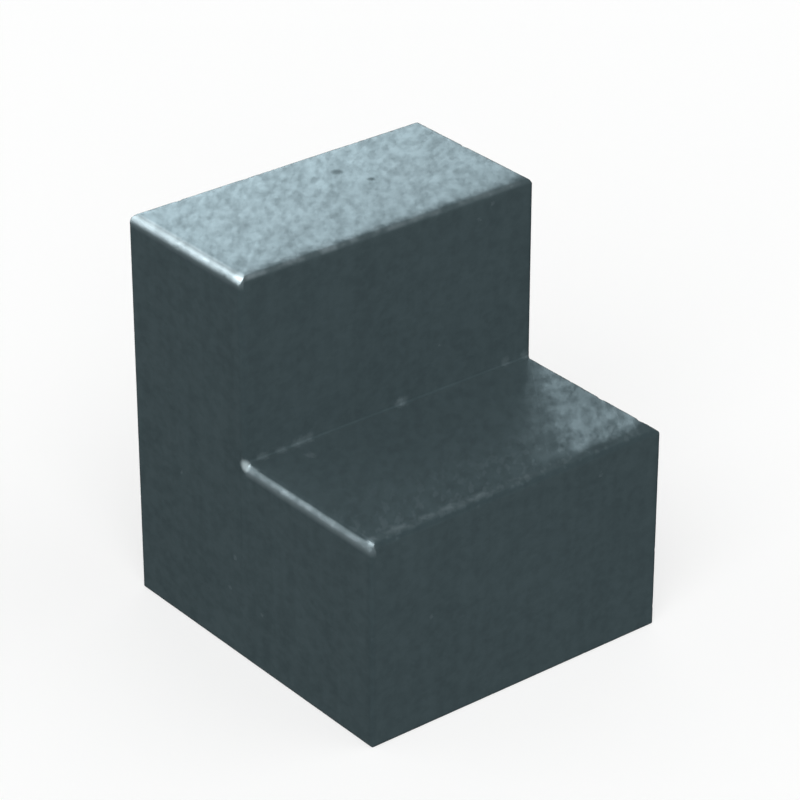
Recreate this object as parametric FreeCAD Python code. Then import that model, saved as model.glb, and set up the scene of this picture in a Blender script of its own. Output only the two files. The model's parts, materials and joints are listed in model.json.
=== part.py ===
import FreeCAD, Part
import os

# Granite angle plate: one block of dark granite, with a low step in front of a tall upright.
# Lengths are in millimetres.
# +X runs along the width, +Y from the step to the back of the upright, and +Z up.
# The origin is the middle of the footprint, on the base.

# Overall form
width = 150.0
upright_thickness = 76.0
step_projection = 82.0
height = 176.0
step_height = 93.5

# Radius of the edges round the two level tops, which a hand stone eased the most
top_arris_radius = 3.0
# Radius of the upright edges and of the edges round the base
side_arris_radius = 1.2
# Radius that the grinding wheel leaves in the inner corner
inner_corner_radius = 0.8

# Places that follow from the sizes above
depth = upright_thickness + step_projection
left_x = -width / 2
step_front_y = -depth / 2
back_y = depth / 2
upright_front_y = back_y - upright_thickness
inner_arc_y = upright_front_y - inner_corner_radius
inner_arc_z = step_height + inner_corner_radius

same_place = 1e-6


def profile_point(y, z):
    """A point of the stepped profile, on the left-hand end of the block."""
    return FreeCAD.Vector(left_x, y, z)


def straight_run(points):
    """The straight edges that join these points in turn."""
    return [Part.LineSegment(start, end).toShape() for start, end in zip(points, points[1:])]


def stepped_profile():
    """The end face: base, back, top, upright's front, inner corner, step and its front."""
    arc_on_step = profile_point(inner_arc_y, step_height)
    arc_on_upright = profile_point(upright_front_y, inner_arc_z)
    halfway = inner_corner_radius / 2 ** 0.5
    arc_middle = profile_point(inner_arc_y + halfway, inner_arc_z - halfway)
    inner_corner = Part.Arc(arc_on_step, arc_middle, arc_on_upright).toShape()
    outer_run = straight_run([
        arc_on_upright,
        profile_point(upright_front_y, height),
        profile_point(back_y, height),
        profile_point(back_y, 0),
        profile_point(step_front_y, 0),
        profile_point(step_front_y, step_height),
        arc_on_step,
    ])
    return Part.Face(Part.Wire([inner_corner, *outer_run]))


def sawn_block():
    """The stepped block as it leaves the saw, with sharp outer edges."""
    return stepped_profile().extrude(FreeCAD.Vector(width, 0, 0))


def lies_along(edge, y, z):
    """True where the edge runs along the width at this place."""
    ends = [vertex.Point for vertex in edge.Vertexes]
    return all(abs(end.y - y) < same_place and abs(end.z - z) < same_place for end in ends)


def is_inner_seam(edge):
    """True for the two lines where the inner corner's radius runs out into the flat faces."""
    on_step = lies_along(edge, inner_arc_y, step_height)
    on_upright = lies_along(edge, upright_front_y, inner_arc_z)
    return on_step or on_upright


def end_radii(edge):
    """The rounding at the start and at the end of an outer edge, in the edge's own direction."""
    ends = [edge.valueAt(edge.FirstParameter), edge.valueAt(edge.LastParameter)]
    if isinstance(edge.Curve, Part.Circle):
        # The inner corner's end arc starts on the wide arris of the step and ends on the upright's narrow one
        on_step = [abs(end.z - step_height) < same_place for end in ends]
        return [top_arris_radius if is_low else side_arris_radius for is_low in on_step]
    is_level = abs(ends[0].z - ends[1].z) < same_place
    bounds_a_top = is_level and ends[0].z > same_place
    return [top_arris_radius if bounds_a_top else side_arris_radius] * 2


def stoned_block(block):
    """Rounds all the outer edges in one pass, so that they blend in each other at the corners."""
    document = FreeCAD.newDocument("angle_plate")
    sharp = document.addObject("Part::Feature", "sharp_block")
    sharp.Shape = block
    rounded = document.addObject("Part::Fillet", "rounded_block")
    rounded.Base = sharp
    rounded.Edges = [
        (number, *end_radii(edge))
        for number, edge in enumerate(sharp.Shape.Edges, 1)
        if not is_inner_seam(edge)
    ]
    document.recompute()
    return rounded.Shape.Solids[0]


angle_plate = stoned_block(sawn_block())

os.makedirs("parts", exist_ok=True)
angle_plate.exportStep("parts/angle_plate.step")

box = angle_plate.optimalBoundingBox(False, False)
cubic_mm_in_litre = 1e6
print("angle_plate:", angle_plate.ShapeType, "valid", angle_plate.isValid(), "faces", len(angle_plate.Faces))
print("width, depth and height:", round(box.XLength, 3), round(box.YLength, 3), round(box.ZLength, 3))
print("volume in litres:", round(angle_plate.Volume / cubic_mm_in_litre, 4))
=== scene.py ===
# %% [markdown]
# # A granite angle plate
# The real thing is one block of dark granite. A low step stands in front of a tall upright, all its faces
# are lapped flat, and its edges, which a mason calls arrises, are rounded with a hand stone. This lesson
# models the block in Blender, gives it its stone, and lights it as in a small studio. The measured model
# is loaded first. It is a fixed frame: it gives every size and place, and nothing in it is moved.
# %% Load the measured block
import json
import math
from collections import namedtuple

import bmesh
import bpy
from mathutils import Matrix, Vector, noise
from mathutils.geometry import intersect_point_line


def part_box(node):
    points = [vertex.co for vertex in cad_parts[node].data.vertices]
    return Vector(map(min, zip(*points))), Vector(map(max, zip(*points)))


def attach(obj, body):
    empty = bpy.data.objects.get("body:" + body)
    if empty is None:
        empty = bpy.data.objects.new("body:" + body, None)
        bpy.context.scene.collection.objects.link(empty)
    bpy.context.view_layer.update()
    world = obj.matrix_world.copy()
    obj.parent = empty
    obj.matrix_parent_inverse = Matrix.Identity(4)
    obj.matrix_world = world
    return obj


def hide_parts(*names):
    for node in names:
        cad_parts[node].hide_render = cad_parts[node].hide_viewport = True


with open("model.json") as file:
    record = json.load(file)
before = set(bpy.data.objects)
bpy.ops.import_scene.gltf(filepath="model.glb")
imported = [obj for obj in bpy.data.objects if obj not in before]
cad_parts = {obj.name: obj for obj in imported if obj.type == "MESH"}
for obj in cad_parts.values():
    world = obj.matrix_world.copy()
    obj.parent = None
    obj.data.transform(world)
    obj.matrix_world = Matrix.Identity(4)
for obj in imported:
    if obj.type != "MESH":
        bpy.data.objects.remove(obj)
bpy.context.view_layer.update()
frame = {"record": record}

# %% [markdown]
# ## Sizes
# Blender works in metres and a mason in millimetres, so one value turns the second into the first. The
# block's corners and the places of its two working faces come from the frame. Only the roundings are
# written here, because a frame of flat faces doesn't name them. The arrises round the two level tops are
# eased the most, and those at the left a little more still. The two that face the front are tighter, and
# the upright edges and those round the base are nearly sharp.
# %% Read the sizes
mm = 0.001
close_to = 0.1 * mm
low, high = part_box("angle_plate")
face_places = {mount["name"]: Vector(mount["pos_m"]) for mount in frame["record"]["mounts"]}
upright_front = face_places["upright_front"].y
step_top = face_places["step_top"].z
width = high.x - low.x

left_radius = 4 * mm
top_radius = 3 * mm
front_radius = 2 * mm
side_radius = 1.2 * mm
inner_corner_radius = 0.8 * mm
print("width, depth, height in mm:", [round(side / mm, 2) for side in high - low])
print("step top at", round(step_top / mm, 2), "and upright front at", round(upright_front / mm, 2))

# %% [markdown]
# ## The sawn block
# A saw first cuts the block, with sharp edges. Here it starts as a cube operator's eight corners, scaled
# to a slab as wide and deep as the block and as high as the step. Another way is to extrude the end
# face's outline, but the slab shows better how the step and the upright share one base.
# %% Make the slab
block = bmesh.new()
bmesh.ops.create_cube(block, size=1)
slab_size = Vector((width, high.y - low.y, step_top - low.z))
bmesh.ops.scale(block, vec=slab_size, verts=block.verts)
slab_middle = (low + high) / 2 - Vector((0, 0, (high.z - step_top) / 2))
bmesh.ops.translate(block, vec=slab_middle, verts=block.verts)
print("slab:", len(block.verts), "corners,", len(block.faces), "faces")

# %% [markdown]
# ## The upright
# A cut across the slab marks where the upright's front will stand. The part of the top behind that cut is
# then pulled up to the full height. The extrude operator keeps the old face inside the block, so it is
# deleted, and the faces that lie flat beside each other are joined again.
# %% Raise the upright
whole_slab = [*block.verts, *block.edges, *block.faces]
bmesh.ops.bisect_plane(block, geom=whole_slab, plane_co=(0, upright_front, 0), plane_no=(0, 1, 0))
lid = [face for face in block.faces if face.normal.z > 0.5 and face.calc_center_median().y > upright_front]
raised = bmesh.ops.extrude_face_region(block, geom=lid)["geom"]
raised_corners = [part for part in raised if isinstance(part, bmesh.types.BMVert)]
bmesh.ops.translate(block, vec=(0, 0, high.z - step_top), verts=raised_corners)
bmesh.ops.delete(block, geom=lid, context="FACES_ONLY")
bmesh.ops.dissolve_limit(block, angle_limit=math.radians(1), verts=block.verts, edges=block.edges)
print("sawn block:", len(block.verts), "corners,", len(block.faces), "faces")

# %% [markdown]
# ## A note of every arris
# Later steps need to know where the sharp edges were, because wear and chips lie along them. So each
# outer edge is written down once: its two ends, the direction in which it points out of the block, and
# the radius that it gets.
# %% Note the arrises
Arris = namedtuple("Arris", "start end outward radius")


def edge_radius(edge):
    """The rounding of one outer edge, from where it lies and which way it runs."""
    start, end = (vert.co for vert in edge.verts)
    is_level = abs(start.z - end.z) < close_to
    is_at_base = start.z < low.z + close_to
    if is_at_base or not is_level:
        return side_radius
    runs_across = abs(start.x - end.x) > width / 2
    if not runs_across:
        return left_radius if start.x < 0 else top_radius
    is_at_back = start.y > high.y - close_to
    return top_radius if is_at_back else front_radius


arrises = []
for edge in block.edges:
    if edge.is_convex:
        outward = sum((face.normal for face in edge.link_faces), Vector()).normalized()
        arrises.append(Arris(*(vert.co.copy() for vert in edge.verts), outward, edge_radius(edge)))
radii = sorted({round(arris.radius / mm, 2) for arris in arrises})
print("arrises:", len(arrises), "with radii in mm", radii)

# %% [markdown]
# ## The inner corner and the arrises
# A grinding wheel has a worn rim, so it leaves a small radius in the inner corner. A bevel operator makes
# that one. The outer edges have four radii that must blend at the corners, and the Bevel modifier can do
# this in one pass: each edge carries a weight, which is its share of the widest radius. Where the step's
# arris runs round the inner corner into the upright's edge, the weight fades from one to the other.
# %% Bevel the inner corner
inner_edges = [edge for edge in block.edges if not edge.is_convex]
bmesh.ops.bevel(
    block, geom=inner_edges, offset=inner_corner_radius,
    offset_type="OFFSET", segments=4, profile=0.5, affect="EDGES", material=-1,
)
print("block with its inner corner rounded:", len(block.faces), "faces")

# %% Weigh the edges
bevel_weight = block.edges.layers.float.new("bevel_weight_edge")
square_enough = math.radians(60)
for edge in block.edges:
    if edge.calc_face_angle() > square_enough:
        radius = edge_radius(edge)
        if edge.calc_length() < 2 * inner_corner_radius:
            middle = sum(vert.co.z for vert in edge.verts) / 2
            climb = (middle - step_top) / inner_corner_radius
            low_radius = left_radius if edge.verts[0].co.x < 0 else top_radius
            radius = low_radius + (side_radius - low_radius) * climb
        edge[bevel_weight] = radius / left_radius
print("weighed edges:", sum(edge[bevel_weight] > 0 for edge in block.edges))

# %% Round the arrises with a modifier
sawn_mesh = bpy.data.meshes.new("sawn_block")
block.to_mesh(sawn_mesh)
sawn_block = bpy.data.objects.new("sawn_block", sawn_mesh)
bpy.context.collection.objects.link(sawn_block)
rounding = sawn_block.modifiers.new("rounding", "BEVEL")
rounding.limit_method = "WEIGHT"
rounding.offset_type = "OFFSET"
rounding.width = left_radius
rounding.segments = 8
rounding.profile = 0.5
rounding.use_clamp_overlap = False
block.clear()
block.from_object(sawn_block, bpy.context.evaluated_depsgraph_get())
bpy.data.objects.remove(sawn_block)
bpy.data.meshes.remove(sawn_mesh)
print("rounded block:", len(block.verts), "points,", len(block.faces), "faces")

# %% [markdown]
# ## A finer mesh along the arrises
# The chips are one or two millimetres across, so the arrises need points closer than that. The flats need
# none. So each flat gets two narrow inner borders and is taken out, and the strips that are left are
# divided along their length. A strip's cuts have to match those of the strips beside it, so each ladder
# of side-by-side edges is cut alike. The flats are filled in again at the end.
# %% Border and lift out the flats
border = 0.8 * mm
border_rows = 2
smallest_flat = (20 * mm) ** 2
flats = [face for face in block.faces if face.calc_area() > smallest_flat]
for _ in range(border_rows):
    bmesh.ops.inset_region(block, faces=flats, thickness=border, use_even_offset=True, use_boundary=True)
flat_count = len(flats)
bmesh.ops.delete(block, geom=flats, context="FACES_ONLY")
print("lifted out", flat_count, "flats")

# %% Divide the strips and fill the flats again
mesh_step = 0.6 * mm
shortest_rung = 5 * mm


def ladder(rung):
    """All the edges that lie side by side with this one, across four-sided faces."""
    found, waiting = {rung}, [rung]
    while waiting:
        for loop in waiting.pop().link_loops:
            across = loop.link_loop_next.link_loop_next.edge
            if across not in found:
                found.add(across)
                waiting.append(across)
    return found


long_edges = [edge for edge in block.edges if edge.calc_length() > shortest_rung]
ladders = []
for edge in long_edges:
    if not any(edge in rungs for rungs in ladders):
        ladders.append(ladder(edge))
for rungs in ladders:
    cuts = round(max(edge.calc_length() for edge in rungs) / mesh_step) - 1
    in_mesh_order = [edge for edge in block.edges if edge in rungs]
    bmesh.ops.subdivide_edges(block, edges=in_mesh_order, cuts=cuts, use_grid_fill=True)
bmesh.ops.holes_fill(block, edges=[edge for edge in block.edges if edge.is_boundary], sides=0)
bmesh.ops.recalc_face_normals(block, faces=block.faces)
print("fine mesh:", len(block.verts), "points in", len(ladders), "ladders")
print("open edges:", sum(not edge.is_manifold for edge in block.edges))

# %% [markdown]
# ## The hand stone's work
# A hand stone rubs the middle of an arris a little flatter than a true circle, and never leaves it quite
# even. Each point near an old sharp edge is pushed in along its own normal, never out. The first push
# flattens the rounding. Noise of two sizes adds the grain of the rubbed surface and the uneven strokes.
# The three corners at the left that a hand meets first are rubbed deeper than the rest.
# %% Find what lies near an arris
front_corners = [
    Vector((low.x, upright_front, high.z)),
    Vector((low.x, upright_front, step_top)),
    Vector((low.x, low.y, step_top)),
]


def clamp(value):
    """Keeps a value between nought and one."""
    return max(0.0, min(1.0, value))


def gap_to_arris(point, arris):
    """Distance from a point to the sharp edge that the saw left."""
    on_line, share = intersect_point_line(point, arris.start, arris.end)
    return (point - arris.start.lerp(arris.end, clamp(share))).length


def nearness(point, arris):
    """One on the middle of the rounding, fading to nought at the far side of its borders."""
    reach = arris.radius + border_rows * border
    middle = (math.sqrt(2) - 1) * arris.radius
    return clamp((reach - gap_to_arris(point, arris)) / (reach - middle))


def nearest_arris(point):
    """How near a point is to its nearest arris, and which one that is."""
    return max(((nearness(point, arris), arris) for arris in arrises), key=lambda pair: pair[0])


def gap_to_front_corner(point):
    """Distance to the nearest of the three corners that a hand meets first."""
    return min((point - corner).length for corner in front_corners)


print("corners that a hand meets first:", len(front_corners))

# %% Rub the arrises
flattening = 0.25
flats_lean = math.cos(math.radians(45))
rough_size = 1.1 * mm
rough_depth = 0.04 * mm
stroke_size = 6 * mm
stroke_depth = 0.14 * mm
corner_reach = 8 * mm
corner_depth = 0.5 * mm


def uneven_depth(point, size, depth):
    """A depth that noise of this size varies between nought and all of it."""
    return depth * (0.5 + 0.5 * noise.noise(point / size))


def arris_size(arris):
    """How wide an arris is beside the widest ones: narrow ones are worn and chipped less."""
    return min(1.0, arris.radius / top_radius)


def rubbed_depth(vert, arris, near):
    """How far the hand stone took this point in."""
    crown = max(0.0, vert.normal.dot(arris.outward) - flats_lean) * arris.radius
    roughness = uneven_depth(vert.co, rough_size, rough_depth)
    roughness += uneven_depth(vert.co, stroke_size, stroke_depth)
    at_corner = clamp(1 - gap_to_front_corner(vert.co) / corner_reach) ** 2
    return flattening * crown + near * arris_size(arris) * roughness + corner_depth * at_corner


# The pale attribute holds the paleness of fresh chips and, on the left arrises, a painted highlight.
pale = block.verts.layers.float.new("pale")
polish = block.verts.layers.float.new("polish")
# Holds the painted shade on the edges and in the inner corner.
painted_shade = block.verts.layers.float.new("painted_shade")
pushes = {}
for vert in block.verts:
    near, arris = nearest_arris(vert.co)
    if near > 0:
        pushes[vert] = rubbed_depth(vert, arris, near)
print("painted_arris_sheen", len(pushes), "points, deepest", round(max(pushes.values()) / mm, 2), "mm")

# %% [markdown]
# ## Chips
# Granite breaks out in small shells wherever its arrises are knocked. A Voronoi pattern scatters them:
# only some of its cells hold a chip, and each chip is deepest at its cell's middle. The far arrises of
# the two tops have the most, and a few harder knocks besides, each at a place of its own. Fresh breaks
# are paler than the stone, so each point remembers how deep its chip is.
# %% Shape one chip
chip_cell = 2.6 * mm
chip_reach = 0.42
chip_steepness = 1.8
ragged_size = 0.6 * mm
ragged_share = 0.12
picking_spread = 5.3


def chip_share(point, share_chipped):
    """How much of a chip is at this point: nought outside the cells that hold one."""
    distances, centres = noise.voronoi(point / chip_cell)
    picked = noise.noise(centres[0] * picking_spread) * 0.5 + 0.5
    if picked > share_chipped:
        return 0.0
    ragged_edge = ragged_share * noise.noise(point / ragged_size)
    return clamp(chip_steepness * (chip_reach + ragged_edge - distances[0]))


print("chips up to", round(2 * chip_reach * chip_cell / mm, 1), "mm across")

# %% Break out the chips
chip_depth = 0.7 * mm
chip_paleness = 0.5
share_of_far_cells = 0.6
share_of_other_cells = 0.3
knocks = [
    Vector((high.x, -44 * mm, step_top)),
    Vector((high.x, -68 * mm, step_top)),
    Vector((high.x, 46 * mm, high.z)),
    Vector((-52 * mm, high.y, high.z)),
    Vector((-18 * mm, high.y, high.z)),
]
knock_reach = 3 * mm
knock_depth = 1.1 * mm
for vert in pushes:
    near, arris = nearest_arris(vert.co)
    is_far = arris.radius == top_radius
    chip = chip_share(vert.co, share_of_far_cells if is_far else share_of_other_cells)
    knock = max(clamp(1 - (vert.co - spot).length / knock_reach) for spot in knocks)
    size = arris_size(arris)
    pushes[vert] += chip * chip_depth * size * near + knock * knock_depth * near
    vert[pale] = chip_paleness * chip * near * size ** 2
for vert, push in pushes.items():
    vert.co -= vert.normal * push
print("deepest point lies", round(max(pushes.values()) / mm, 2), "mm in")

# %% [markdown]
# ## A painted highlight on the left arrises
# The lower half of the left arrises is painted a little pale: a painted highlight that carries their shine
# further down towards the end face. That is added to the same attribute as the chips, over a band below each
# of the two level faces. The band reaches its full share a third of a radius down, and has faded out 1.4
# radii down.
# %% Pale the left arrises
highlight_paleness_below = {high.z: 0.3, step_top: 0.34}


def highlight_band_share(down):
    """The share of the painted highlight band at a depth that is counted in radii."""
    return clamp(3 * down) * clamp(2.4 - 1.7 * down)


# Painted highlight: a pale band low on the left arrises, below each level face.
for vert in block.verts:
    if vert.co.x < low.x + left_radius / 2:
        for top, palest in highlight_paleness_below.items():
            has_this_top = top > step_top or vert.co.y < upright_front
            share = has_this_top * highlight_band_share((top - vert.co.z) / left_radius)
            vert[pale] = max(vert[pale], palest * share)
print("pale points:", sum(vert[pale] > 0 for vert in block.verts))

# %% [markdown]
# ## How each face was finished
# The upright's top is lapped the finest, the step's top less so, and the upright faces are only fine
# ground. The stone's material needs to know that, so each point carries it as an attribute. It depends on
# the way the point faces and on its height, so that it fades from one finish to the next over the
# rounding between them. The lap doesn't reach into the inner corner. Hands and cloths polish the three
# front corners more than anything else, and the upright's most.
# %% Place the polish on the left arrises
step_arris_gain = 1.18
step_corner_share = 0.7
flat_enough = 0.98
rub_size = 2.2 * mm
rub_change = 0.4


def ramp(value, start, length):
    """Nought up to the start, one from a length beyond it, and an even rise between them."""
    return clamp((value - start) / length)


def mixed(first, second, share):
    """A value between two others."""
    return first + (second - first) * share


def is_on_left_arris(point):
    """True over the width of the left arrises."""
    return point.x < low.x + left_radius


def arris_shine(vert, upper, at_corner):
    """Polish across the left arrises: high on the upright's, low on the step's, all over at a corner."""
    if not is_on_left_arris(vert.co):
        return 1.0
    high_on_it = ramp(vert.normal.z, 0.2, 0.4)
    low_on_it = ramp(-vert.normal.x, 0.64, 0.2)
    rubs = 1 + rub_change * noise.noise(vert.co / rub_size)
    low_shine = low_on_it * step_arris_gain * rubs
    on_step = max(low_shine, vert.normal.z > flat_enough, step_corner_share * at_corner)
    return mixed(on_step, high_on_it, upper)


print("polish along the left arrises worked out")

# %% Give every point its polish
top_polish = 0.66
step_polish = 0.28
side_polish = 0.03
corner_gain_on_step = 0.135
corner_gain_on_top = 0.9
struck_corner = front_corners[1]
struck_gain = 0.7
struck_reach = 3 * mm

block.normal_update()
for vert in block.verts:
    upper = ramp(vert.co.z, step_top + 10 * mm, 20 * mm)
    at_corner = clamp(2 * (1 - gap_to_front_corner(vert.co) / corner_reach))
    near_struck = clamp(1.5 - (vert.co - struck_corner).length / struck_reach)
    shine = mixed(step_polish, top_polish, upper) * arris_shine(vert, upper, at_corner)
    shine *= 1 + at_corner * mixed(corner_gain_on_step, corner_gain_on_top, upper)
    shine *= 1 + struck_gain * near_struck
    from_inner_corner = math.hypot(vert.co.y - upright_front, vert.co.z - step_top)
    reached = max(ramp(from_inner_corner, 0.6 * mm, 1 * mm), is_on_left_arris(vert.co))
    facing_up = ramp(vert.normal.z, 0.05, 0.35)
    vert[polish] = mixed(side_polish, shine, facing_up * reached)
print("polish given to", len(block.verts), "points")

# %% [markdown]
# ## Painted shade on the edges
# Painted shade darkens the step's front arris, the inner corner and, less, the upright edges in front,
# where their rounded surfaces face the front lamps more squarely than the flats beside them. An attribute
# holds how much there is at each point. It is worked out from the distance to the edge, and fades out over
# the last millimetre.
# %% Darken the edges
step_arris_shade = 0.5
inner_corner_shade = 0.4
upright_edge_shade = 0.3
shade_fade = 1 * mm


def shade_near(point, line_y, reach):
    """The share of painted shade near a level line at the step's height: one, then fading out towards its
    reach.
    """
    gap = math.hypot(point.y - line_y, point.z - step_top)
    return clamp((reach - gap) / shade_fade)


# Painted shade: darkens the step's front arris, the inner corner and the upright edges in front.
for vert in block.verts:
    near, arris = nearest_arris(vert.co)
    is_front_edge = arris.outward.y < -0.5 and abs(arris.outward.z) < 0.1
    vert[painted_shade] = max(
        step_arris_shade * shade_near(vert.co, low.y, 2.2 * mm),
        inner_corner_shade * shade_near(vert.co, upright_front, 1.3 * mm),
        upright_edge_shade * near * is_front_edge,
    )
print("shade_painted points:", sum(vert[painted_shade] > 0 for vert in block.verts))

# %% [markdown]
# ## The finished mesh
# The mesh goes into an object at the origin, so that its place is in its points, as in the frame. All
# faces are shaded smooth: the narrow borders keep the flats' own normals flat. The piece rides on the
# block's only body and stands in for the measured model, which then isn't shown.
# %% Put the block in the scene
for face in block.faces:
    face.smooth = True
mesh = bpy.data.meshes.new("lapped_block")
block.to_mesh(mesh)
block.free()
lapped_block = bpy.data.objects.new("lapped_block", mesh)
bpy.context.collection.objects.link(lapped_block)
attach(lapped_block, "root")
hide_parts("angle_plate")
print("triangles:", sum(len(face.vertices) - 2 for face in mesh.polygons))

# %% [markdown]
# ## The granite
# Dark granite is a tight mass of crystals about a millimetre across, all nearly the same blue-green
# black. On the ground faces they hardly show. On a lapped face each one reflects a little more or less
# light, and the face looks mottled. So the crystals change the colour slightly and the strength of the
# coat, which stands for the lapped surface, rather more. All patterns are in metres on the object's own
# coordinates.
# %% Start the material
granite = bpy.data.materials.new("black_granite")
granite.use_nodes = True
tree = granite.node_tree
shader = tree.nodes["Principled BSDF"]


def add_node(kind, **settings):
    """Adds a node to the granite and sets its options."""
    made = tree.nodes.new(kind)
    for name, value in settings.items():
        setattr(made, name, value)
    return made


def fill(socket, value):
    """Gives a socket a number, a colour or the output of another node."""
    if isinstance(value, bpy.types.NodeSocket):
        tree.links.new(value, socket)
    else:
        socket.default_value = value


def maths(operation, *values, clamped=False):
    """One sum on numbers or the outputs of other nodes."""
    made = add_node("ShaderNodeMath", operation=operation, use_clamp=clamped)
    for socket, value in zip(made.inputs, values):
        fill(socket, value)
    return made.outputs["Value"]


def rescale(value, from_low, from_high, to_low=0.0, to_high=1.0):
    """Moves a value from one range to another and keeps it inside."""
    made = add_node("ShaderNodeMapRange", interpolation_type="SMOOTHSTEP")
    for name, part in zip(("Value", "From Min", "From Max", "To Min", "To Max"),
                          (value, from_low, from_high, to_low, to_high)):
        fill(made.inputs[name], part)
    return made.outputs["Result"]


def colour_mix(share, first, second):
    """A colour between two others."""
    made = add_node("ShaderNodeMix", data_type="RGBA")
    fill(made.inputs["Factor"], share)
    for name, value in (("A", first), ("B", second)):
        socket = next(s for s in made.inputs if s.name == name and s.type == "RGBA")
        fill(socket, value)
    return next(s for s in made.outputs if s.type == "RGBA")


def vector_maths(operation, first, second, output="Vector"):
    """One sum on two vectors."""
    made = add_node("ShaderNodeVectorMath", operation=operation)
    fill(made.inputs[0], first)
    fill(made.inputs[1], second)
    return made.outputs[output]


place = add_node("ShaderNodeTexCoord").outputs["Object"]
axes = add_node("ShaderNodeSeparateXYZ")
fill(axes.inputs["Vector"], place)
print("material:", granite.name)

# %% [markdown]
# ## Crystals
# Three patterns make the grain. A Voronoi texture gives each crystal one shade of its own, with hard
# borders. One noise texture gathers the crystals in soft patches of a few millimetres, and another in
# wider clouds. None of them alone looks like granite: the first is too even and the others are too
# cloudy. Rock grows under pressure from one side, so its crystals are twice as long one way. For that,
# the coordinates are turned to that direction and squeezed along it.
# %% Turn and squeeze the coordinates
grain_turn = math.radians(51)
grain_stretch = 2.1
along_grain = (math.cos(grain_turn) / grain_stretch, math.sin(grain_turn) / grain_stretch, 0)
across_grain = (-math.sin(grain_turn), math.cos(grain_turn), 0)
grain_place = add_node("ShaderNodeCombineXYZ")
fill(grain_place.inputs["X"], vector_maths("DOT_PRODUCT", place, along_grain, "Value"))
fill(grain_place.inputs["Y"], vector_maths("DOT_PRODUCT", place, across_grain, "Value"))
fill(grain_place.inputs["Z"], axes.outputs["Z"])
print("crystals", grain_stretch, "times as long as wide")


# %% Grow the crystals
def noise_value(size, detail=2.0, coordinates=grain_place.outputs["Vector"]):
    """Soft noise whose patches are about this large."""
    made = add_node("ShaderNodeTexNoise")
    fill(made.inputs["Scale"], 1 / size)
    fill(made.inputs["Detail"], detail)
    fill(made.inputs["Vector"], coordinates)
    return made.outputs["Fac"]


def crystal_shade(size):
    """One random shade for each crystal of about this size."""
    cells = add_node("ShaderNodeTexVoronoi", feature="F1")
    fill(cells.inputs["Scale"], 1 / size)
    fill(cells.inputs["Vector"], grain_place.outputs["Vector"])
    parts = add_node("ShaderNodeSeparateColor")
    fill(parts.inputs["Color"], cells.outputs["Color"])
    return parts.outputs["Red"]


crystal_size = 1.6 * mm
patch_size = 4.2 * mm
cloud_size = 11 * mm
crystals = crystal_shade(crystal_size)
patches = rescale(noise_value(patch_size, detail=2.2), 0.33, 0.67)
clouds = rescale(noise_value(cloud_size), 0.35, 0.65)
grain = 0.0
for pattern, share in ((crystals, 0.3), (patches, 0.5), (clouds, 0.2)):
    grain = maths("ADD", grain, maths("MULTIPLY", pattern, share))
grain_sizes = [round(size / mm, 1) for size in (crystal_size, patch_size, cloud_size)]
print("crystals, patches and clouds in mm:", grain_sizes)

# %% [markdown]
# ## The dull bands
# Work slides over the two front arrises, and that takes the lapped shine off a band of the level face
# behind each. The band is a little wider towards the right and widest at the right corner, and its border
# is ragged, because the shine wears off crystal by crystal. It depends on the distance behind the front
# edge, so it is worked out from the coordinates. Two helpers give a value that differs between the step
# and the upright, or from left to right.
# %% Measure from the front edges
upright_starts = step_top + 10 * mm
rightward = maths("DIVIDE", maths("SUBTRACT", axes.outputs["X"], low.x), width)
on_upright = maths("GREATER_THAN", axes.outputs["Z"], upright_starts)


def by_level(at_step, at_upright):
    """One value on the step and another on the upright."""
    difference = maths("SUBTRACT", at_upright, at_step)
    return maths("ADD", at_step, maths("MULTIPLY", on_upright, difference))


def left_to_right(at_left, at_right):
    """A value that changes evenly from the left end to the right."""
    return maths("ADD", at_left, maths("MULTIPLY", rightward, at_right - at_left))


behind_edge = maths("SUBTRACT", axes.outputs["Y"], by_level(low.y, upright_front))
print("the upright starts at", round(upright_starts / mm, 1), "mm")

# %% Wear the dull bands
corner_starts = 0.93
wider_at_corner = 4 * mm
fine_size = 2.5 * mm
wide_size = 8 * mm
fade_outside = 4.2 * mm
fade_inside = 4.4 * mm

band = by_level(left_to_right(6 * mm, 8 * mm), left_to_right(2.9 * mm, 4.1 * mm))
band = maths("ADD", band, rescale(rightward, corner_starts, 1, 0, wider_at_corner))
fine_tatters = maths("SUBTRACT", noise_value(fine_size, detail=3), 0.5)
wide_tatters = maths("SUBTRACT", noise_value(wide_size, coordinates=place), 0.5)
ragged = maths("MULTIPLY", maths("ADD", fine_tatters, wide_tatters), by_level(8 * mm, 5 * mm))
inside_band = maths("SUBTRACT", maths("ADD", band, ragged), behind_edge)
off_left_arris = rescale(axes.outputs["X"], low.x + left_radius / 2, low.x + left_radius + mm)
dullness = maths("MULTIPLY", rescale(inside_band, -fade_outside, fade_inside), off_left_arris)
print("dull bands that fade over", round((fade_outside + fade_inside) / mm, 1), "mm")

# %% [markdown]
# ## The step's shine
# The step's top keeps its full shine only at its right-hand end, beyond a ragged border that slants
# across it from the inner corner. On the rest, which work has slid over for years, a quarter is left. The
# distance past the border is the dot product of the place with the direction across the border, and the
# bands' noise makes it ragged too. The left arris and the upright keep their shine, so the larger of the
# shares holds there.
# %% Leave the step's shine at its right-hand end
border_turn = math.radians(-31.5)
border_raggedness = 1.3
least_shine = 0.25

across_border = Vector((math.cos(border_turn), math.sin(border_turn), 0))
border_start = across_border.dot(Vector((high.x, upright_front, 0)))
past_border = maths("SUBTRACT", vector_maths("DOT_PRODUCT", place, across_border, "Value"), border_start)
past_border = maths("ADD", past_border, maths("MULTIPLY", ragged, border_raggedness))
kept_shine = rescale(past_border, -4 * mm, 8 * mm, least_shine, 1)
for unworn in (maths("SUBTRACT", 1, off_left_arris), on_upright):
    kept_shine = maths("MAXIMUM", kept_shine, unworn)
print("least share of the shine on the step:", least_shine)

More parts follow.
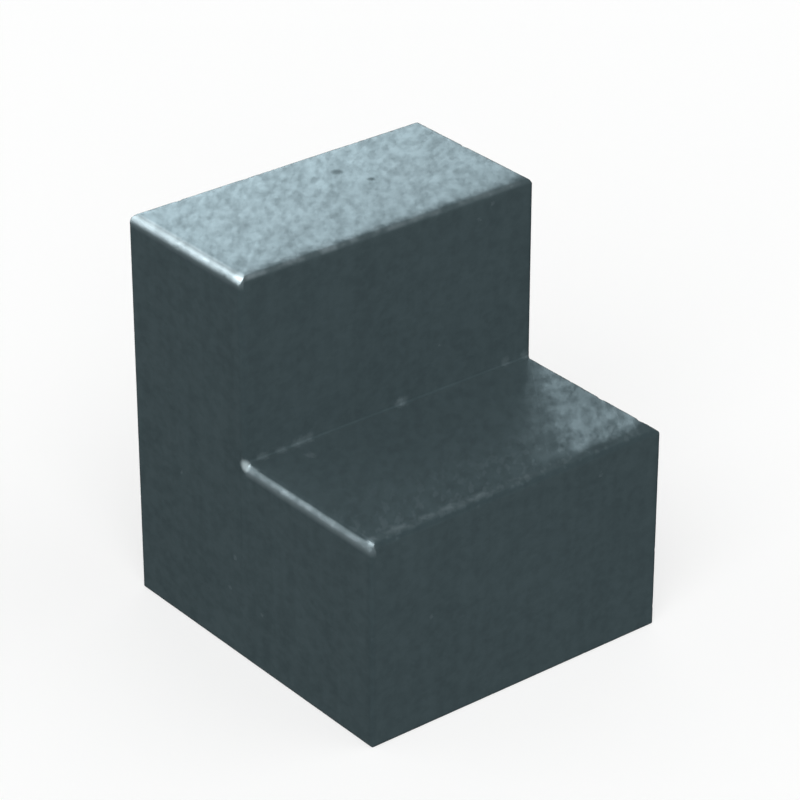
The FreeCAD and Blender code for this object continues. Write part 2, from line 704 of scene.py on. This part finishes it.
# %% [markdown]
# ## The painted glint line
# A thin pale line, a painted glint, runs a few millimetres behind the step's front arris, and it fades out
# towards the right. Behind it lie faint speckles, which grow fewer towards the inner corner. The glint is
# painted in paler stone and the speckles are paler stone, so they are shares of one mask that is nought
# everywhere but on the step's top.
# %% Paint the glint line
line_place = 4.3 * mm
line_reach = 3 * mm
line_strength = 0.16
line_sway = 0.25
speckle_size = 2.8 * mm
speckle_strength = 0.1
step_rim = 0.8 * mm

level_with_step = rescale(axes.outputs["Z"], step_top - step_rim, step_top)
on_step = maths("MULTIPLY", maths("SUBTRACT", 1, on_upright), level_with_step)
swaying_line = maths("ADD", line_place, maths("MULTIPLY", ragged, line_sway))
off_line = maths("SUBTRACT", behind_edge, swaying_line)
line_share = rescale(maths("ABSOLUTE", off_line), line_reach, 0, 0, line_strength)
fades_rightward = rescale(rightward, 0.78, 0.25)
uneven_glint = rescale(wide_tatters, -0.1, 0.12, 0.2, 1.9)
# Painted glint: a pale line a few millimetres behind the step's front arris.
glint_line_and_speckles = maths("MULTIPLY", line_share, maths("MULTIPLY", fades_rightward, uneven_glint))
speckles = rescale(noise_value(speckle_size, detail=1), 0.5, 0.66, 0, speckle_strength)
speckles = maths("MULTIPLY", speckles, rescale(behind_edge, 46 * mm, 6 * mm))
# The speckles are added to the painted glint line.
glint_line_and_speckles = maths("MULTIPLY", maths("ADD", glint_line_and_speckles, speckles), on_step)
print("worn line", round(line_place / mm, 1), "mm behind the step's front")

# %% [markdown]
# ## Specks, dust, a painted highlight and two pits
# A few small pale specks lie on the upright faces. Crumbs and a thin film of dust lie in the inner
# corner, where no cloth reaches. A pale spot paints the highlight at the corner where the step meets the
# upright's left edge, and two dark pits lie in the top. Each mark is a place and a size, and its share comes
# from the distance to that place, which noise makes uneven for the specks and the dust. Two numbers in
# millimetres give a place on its face, and in the inner corner they are the distance along it and up it.
# %% Name the places
upright_specks = [(46.4, 165.3), (52.7, 170.6), (25.6, 114.4)]
front_specks = [(42.8, 83.7), (-44.7, 50.4)]
left_specks = [(46.9, 70.0), (11.0, 46.1), (15.1, 30.3), (-6.9, 27.5)]
left_corner_dust = [(-66.2, 0.2), (-57, 0), (-49.5, 0.4), (-46.5, 0.7), (-42.2, 1.2)]
right_corner_dust = [(4, 1.2), (6, 1.5), (61, 1.5), (72, 1)]
step_dust = [(-49.6, -7.5)]
top_pits = {(15.1, 57.9): 3.6 * mm, (21.8, 43.7): 2.4 * mm}
print("specks:", len(upright_specks + front_specks + left_specks), "pits:", len(top_pits))

# %% Scatter the specks
wobble_size = 2 * mm
wobble_reach = 4 * mm
wobble_noise = add_node("ShaderNodeTexNoise")
fill(wobble_noise.inputs["Vector"], place)
fill(wobble_noise.inputs["Scale"], 1 / wobble_size)
centred_noise = vector_maths("SUBTRACT", wobble_noise.outputs["Color"], (0.5, 0.5, 0.5))
wobble = vector_maths("MULTIPLY", centred_noise, (wobble_reach, wobble_reach, wobble_reach))
wobbly_place = vector_maths("ADD", place, wobble)
solid_share = 0.3


def marks(places, radius, strength, coordinates=wobbly_place):
    """How much of a small mark is at a point, for marks at these places in millimetres."""
    total = 0.0
    for mark in places:
        gap = vector_maths("DISTANCE", coordinates, [part * mm for part in mark], "Value")
        total = maths("ADD", rescale(gap, radius, solid_share * radius, 0, strength), total)
    return total


specks = marks(
    [(x, upright_front / mm, z) for x, z in upright_specks]
    + [(x, low.y / mm, z) for x, z in front_specks]
    + [(low.x / mm, y, z) for y, z in left_specks],
    radius=1.3 * mm, strength=0.14,
)
print("specks scattered")

# %% Lay the dust
crumbs = marks(
    [(x, upright_front / mm, step_top / mm + up) for x, up in left_corner_dust + right_corner_dust]
    + [(x, y, step_top / mm) for x, y in step_dust],
    radius=3.2 * mm, strength=0.15,
)
seen_along_width = vector_maths("MULTIPLY", place, (0, 1, 1))
corner_gap = vector_maths("DISTANCE", seen_along_width, (0, upright_front, step_top), "Value")
film_strength = rescale(rightward, 0.4, 0.15, 0.02, 0.04)
film = maths("MULTIPLY", rescale(corner_gap, 4.5 * mm, -1.5 * mm), film_strength)
film = maths("MULTIPLY", film, rescale(fine_tatters, -0.2, 0.2, 0.4, 1.6))
dust = maths("ADD", crumbs, film)
print("dust laid in the inner corner")

# %% Paint the corner's highlight and sink the pits
corner_highlight_place = (low.x / mm, upright_front / mm + 0.2, step_top / mm - 1)
# Painted highlight: a pale spot at the corner where the step meets the upright's left edge.
painted_corner_highlight = marks([corner_highlight_place], 3.3 * mm, 1, place)
pits = 0.0
for (x, y), pit_radius in top_pits.items():
    pits = maths("ADD", pits, marks([(x, y, high.z / mm)], pit_radius, 0.9, place))
print("bruise and pits placed")

# %% [markdown]
# ## Streaks
# Long faint streaks run down the faces where they were wiped. They are noise on coordinates that are
# squeezed along the height, so that its patches come out long.
# %% Draw the streaks
streak_squeeze = 0.12
streak_width = 6 * mm
streak_strength = 0.14
squeezed = vector_maths("MULTIPLY", place, (1, 1, streak_squeeze))
streak_noise = noise_value(streak_width, coordinates=squeezed)
streakiness = rescale(streak_noise, 0.35, 0.65, -streak_strength, streak_strength)
print("streaks about", round(streak_width / mm), "mm wide")

# %% [markdown]
# ## Colour
# All the patterns now meet in the stone's colour. Grain and streaks choose between two close shades of
# the crystals. Painted shade darkens that on the step's front arris, the inner corner and the upright edges
# in front. Chips, the specks and the dust turn it to paler stone, and the same pale colour paints a sheen on
# the upright's front arris, a glint line on the step and a highlight on the lower left arrises. A paler spot
# paints the highlight at the corner where the step meets the upright's left edge. The painted sheen on the
# upright's front arris is weaker towards the right.
# %% Mix the stone's colour
dark_crystal = (0.045, 0.065, 0.071, 1)
pale_crystal = (0.055, 0.079, 0.086, 1)
# The colour of the painted shade on the edges and in the inner corner.
shaded_stone = (0.024, 0.038, 0.043, 1)
pale_mark_and_highlight_colour = (0.19, 0.24, 0.26, 1)
# The colour of the painted highlight at the step's left corner by the upright.
corner_highlight_colour = (0.33, 0.4, 0.42, 1)
# The width of the painted sheen on the upright's front arris, below its top.
sheen_rim = 2.4 * mm

stone = colour_mix(maths("ADD", grain, streakiness, clamped=True), dark_crystal, pale_crystal)
# Reads the painted shade from the mesh.
shade_share = add_node("ShaderNodeAttribute", attribute_name="painted_shade").outputs["Fac"]
# Painted sheen: paler stone on the upper part of the upright's front arris, in the dull band, weaker towards
# the right.
near_top = rescale(axes.outputs["Z"], high.z - sheen_rim, high.z)
painted_arris_sheen = maths("MULTIPLY", maths("MULTIPLY", dullness, on_upright), near_top)
uneven_sheen = rescale(wide_tatters, -0.14, 0.14, 2, 0.1)
sheen_share = maths("MULTIPLY", left_to_right(0.44, 0.06), uneven_sheen)
# The chips' paleness and the painted highlight on the left arrises.
paleness = add_node("ShaderNodeAttribute", attribute_name="pale").outputs["Fac"]
pale_marks_and_painted_light = maths("ADD", paleness, maths("MULTIPLY", painted_arris_sheen, sheen_share), clamped=True)
for paler_share in (glint_line_and_speckles, specks, dust):
    pale_marks_and_painted_light = maths("ADD", pale_marks_and_painted_light, paler_share, clamped=True)
# Painted shade and the painted sheen, glint and highlights go into the colour here, with the real chips,
# specks and dust.
stone_with_marks_and_painted_light = colour_mix(pale_marks_and_painted_light, colour_mix(shade_share, stone, shaded_stone), pale_mark_and_highlight_colour)
# The pale spot here is the painted highlight at the step's left corner by the upright.
fill(shader.inputs["Base Color"], colour_mix(painted_corner_highlight, stone_with_marks_and_painted_light, corner_highlight_colour))
print("stone's colour mixed")

# %% [markdown]
# ## Polish
# The coat's weight is the polish that each point was given, less what the bands, the border and the pits
# took. The grain changes it most on the step, which is lapped less finely. The upright's top was lapped a
# little better at its back and left, so the polish falls off from there. What is the same all over is set
# on the shader's own sockets.
# %% Set the finish
step_contrast = 1.2
upright_contrast = 0.7
pit_loss = 0.7
gain_backward = 0.23
loss_at_left = 0.04
loss_at_right = 0.3
band_loss_on_step = 0.97
band_loss_on_upright = 0.85

uneven_grain = maths("MULTIPLY", by_level(step_contrast, upright_contrast), maths("SUBTRACT", grain, 0.5))
unevenness = maths("ADD", 1, uneven_grain)
unevenness = maths("MULTIPLY", unevenness, maths("SUBTRACT", 1, maths("MULTIPLY", pits, pit_loss)))
backward = maths("DIVIDE", behind_edge, high.y - upright_front)
falls_off = maths("MULTIPLY", backward, gain_backward)
falls_off = maths("SUBTRACT", falls_off, left_to_right(loss_at_left, loss_at_right))
falls_off = maths("MULTIPLY", on_upright, falls_off)
lost_shine = maths("MULTIPLY", dullness, by_level(band_loss_on_step, band_loss_on_upright))
polish_of_face = add_node("ShaderNodeAttribute", attribute_name="polish").outputs["Fac"]
worn_polish = maths("MULTIPLY", polish_of_face, maths("SUBTRACT", 1, lost_shine))
worn_polish = maths("MULTIPLY", worn_polish, maths("MULTIPLY", kept_shine, maths("ADD", 1, falls_off)))
fill(shader.inputs["Coat Weight"], maths("MULTIPLY", worn_polish, unevenness, clamped=True))
shader.inputs["Coat Roughness"].default_value = 0.25
shader.inputs["Coat IOR"].default_value = 1.5
shader.inputs["Roughness"].default_value = 0.6
shader.inputs["Specular IOR Level"].default_value = 0
mesh.materials.append(granite)
print("finish set on", lapped_block.name)

# %% [markdown]
# ## Floor
# The block stands on a plain pale floor, which keeps its soft shadow. The floor is meant to look white to
# the camera and in the stone's reflections, but a white floor would light the block's foot from below.
# The Light Path node tells the two apart: rays that are seen, directly or in a reflection, meet a pale
# floor with a weak glow of its own, so that it looks white and keeps a faint shadow. Rays that only carry
# light meet a dark one.
# %% Lay the floor
def seen_share(nodes, links):
    """One for rays that are seen, by the camera or in a reflection, and nought for rays that carry light."""
    path = nodes.new("ShaderNodeLightPath")
    total = path.outputs["Is Camera Ray"]
    for name in ("Is Glossy Ray", "Is Transmission Ray"):
        added = nodes.new("ShaderNodeMath")
        added.operation = "ADD"
        added.use_clamp = True
        links.new(total, added.inputs[0])
        links.new(path.outputs[name], added.inputs[1])
        total = added.outputs["Value"]
    return total


floor_mesh = bpy.data.meshes.new("floor")
floor_shape = bmesh.new()
bmesh.ops.create_grid(floor_shape, x_segments=1, y_segments=1, size=4)
floor_shape.to_mesh(floor_mesh)
floor_shape.free()
floor = bpy.data.objects.new("floor", floor_mesh)
bpy.context.collection.objects.link(floor)
floor_paint = bpy.data.materials.new("floor_paint")
floor_paint.use_nodes = True
floor_nodes, floor_links = floor_paint.node_tree.nodes, floor_paint.node_tree.links
floor_shader = floor_nodes["Principled BSDF"]
floor_is_seen = seen_share(floor_nodes, floor_links)


def when_seen(socket_name, unseen, seen):
    """Gives a socket of the floor's shader one colour for rays that are seen and another for the rest."""
    choice = floor_nodes.new("ShaderNodeMix")
    choice.data_type = "RGBA"
    floor_links.new(floor_is_seen, choice.inputs["Factor"])
    for socket in choice.inputs:
        if socket.type == "RGBA":
            socket.default_value = unseen if socket.name == "A" else seen
    result = next(socket for socket in choice.outputs if socket.type == "RGBA")
    floor_links.new(result, floor_shader.inputs[socket_name])


when_seen("Base Color", (0.15, 0.15, 0.15, 1), (0.37, 0.373, 0.372, 1))
when_seen("Emission Color", (0, 0, 0, 1), (0.615, 0.615, 0.614, 1))
floor_shader.inputs["Emission Strength"].default_value = 1
floor_shader.inputs["Roughness"].default_value = 1
floor_shader.inputs["Specular IOR Level"].default_value = 0
floor_mesh.materials.append(floor_paint)
print("floor laid")

# %% [markdown]
# ## Light
# A white tent round the table gives a weak even light, and looks white wherever it is seen. Four broad
# lamps give the rest. The two in front stand at a height where the level step and the faces in front look
# equally light, and the two behind are low and weaker. Suns with a wide angle do that more simply than
# area lamps, because their light has no falloff.
# %% Light the tent
tent = bpy.data.worlds.new("white_tent")
bpy.context.scene.world = tent
tent.use_nodes = True
sky = tent.node_tree.nodes["Background"]
sky.inputs["Color"].default_value = (0.99, 0.99, 0.99, 1)
even_light = 0.2
strength = tent.node_tree.nodes.new("ShaderNodeMath")
strength.operation = "MULTIPLY_ADD"
tent.node_tree.links.new(seen_share(tent.node_tree.nodes, tent.node_tree.links), strength.inputs[0])
strength.inputs[1].default_value = 1 - even_light
strength.inputs[2].default_value = even_light
tent.node_tree.links.new(strength.outputs["Value"], sky.inputs["Strength"])
print("even light:", even_light)

# %% Hang the broad lamps
def broad_lamp(name, turn, height, energy):
    """A sun as wide as a studio lamp, turned round the block from the front and lifted by its height."""
    data = bpy.data.lights.new(name, "SUN")
    data.energy = energy
    data.angle = math.radians(60)
    lamp = bpy.data.objects.new(name, data)
    bpy.context.collection.objects.link(lamp)
    lamp.rotation_euler = (math.radians(90 - height), 0, math.radians(turn))
    lamp.visible_glossy = False


broad_lamp("front_left", -45, 36, 2.7)
broad_lamp("front_right", 45, 36, 0.9)
broad_lamp("back_left", -135, 15, 0.75)
broad_lamp("back_right", 135, 15, 0.75)
print("four broad lamps hung")

# %% [markdown]
# ## Shine
# Stone shows its lapping only where it mirrors something bright. So soft boxes are hung where the lapped
# faces mirror them. They are there for the shine alone and add nothing to the even light. The right-hand
# box shines in the two level tops. Two boxes at the left, a large one and a smaller core, shine along the
# left arrises, and a dim one bridges the gap between right and left. A small bright lamp makes the glints
# at the corners.
# %% Hang the soft boxes
def soft_box(name, target, towards, distance, size, brightness, colour):
    """A rectangular lamp that stands in a direction from its target and faces it."""
    data = bpy.data.lights.new(name, "AREA")
    data.shape = "RECTANGLE"
    data.size, data.size_y = size
    data.energy = brightness * math.pi * size[0] * size[1]
    data.color = colour
    lamp = bpy.data.objects.new(name, data)
    bpy.context.collection.objects.link(lamp)
    away = Vector(towards).normalized()
    lamp.location = target + away * distance
    lamp.rotation_mode = "QUATERNION"
    lamp.rotation_quaternion = (-away).to_track_quat("-Z", "Y")
    lamp.visible_diffuse = False
    lamp.visible_camera = False
    lamp.visible_shadow = False
    return lamp


cool = (0.64, 0.89, 1.0)
paler = (0.8, 0.945, 1.0)
block_top = Vector((0, face_places["upright_top"].y, high.z))
left_corner = Vector((low.x, upright_front, (high.z + step_top) / 2))
soft_box("right_box", block_top, (0.549, 0.687, 0.6), 1.0, (1.1, 0.9), 4.5, cool)
soft_box("bridge_box", left_corner, (0.12, 0.687, 0.71), 1.15, (0.6, 0.6), 1.1, paler)
soft_box("left_box", left_corner, (-0.44, 0.687, 0.56), 1.2, (1.7, 1.7), 6.6, paler)
soft_box("left_core", left_corner, (-0.45, 0.687, 0.565), 1.19, (0.8, 0.8), 5.6, paler)
soft_box("corner_lamp", left_corner, (-0.5, 0.42, 0.76), 1.18, (0.65, 0.65), 30, paler)
print("soft boxes hung")

# %% [markdown]
# ## Camera
# The camera stands in front and to the left, and looks down at the block with a long lens, so that its
# edges stay nearly parallel. It is placed by two angles and a distance from the point that it looks at.
# %% Place the camera
camera_data = bpy.data.cameras.new("camera")
camera = bpy.data.objects.new("camera", camera_data)
bpy.context.collection.objects.link(camera)
azimuth = math.radians(-38.587)
elevation = math.radians(28.502)
backwards = Vector((
    math.sin(azimuth) * math.cos(elevation),
    -math.cos(azimuth) * math.cos(elevation),
    math.sin(elevation),
))
camera_distance = 1.47518
aim = Vector((4.10 * mm, 2.42 * mm, 96.18 * mm))
camera.location = aim + backwards * camera_distance
camera.rotation_mode = "QUATERNION"
camera.rotation_quaternion = (-backwards).to_track_quat("-Z", "Y")
camera_data.sensor_width = 36
camera_data.lens = 161.52
bpy.context.scene.camera = camera
bpy.context.scene.view_settings.view_transform = "Standard"
print("camera at", [round(part, 4) for part in camera.location])
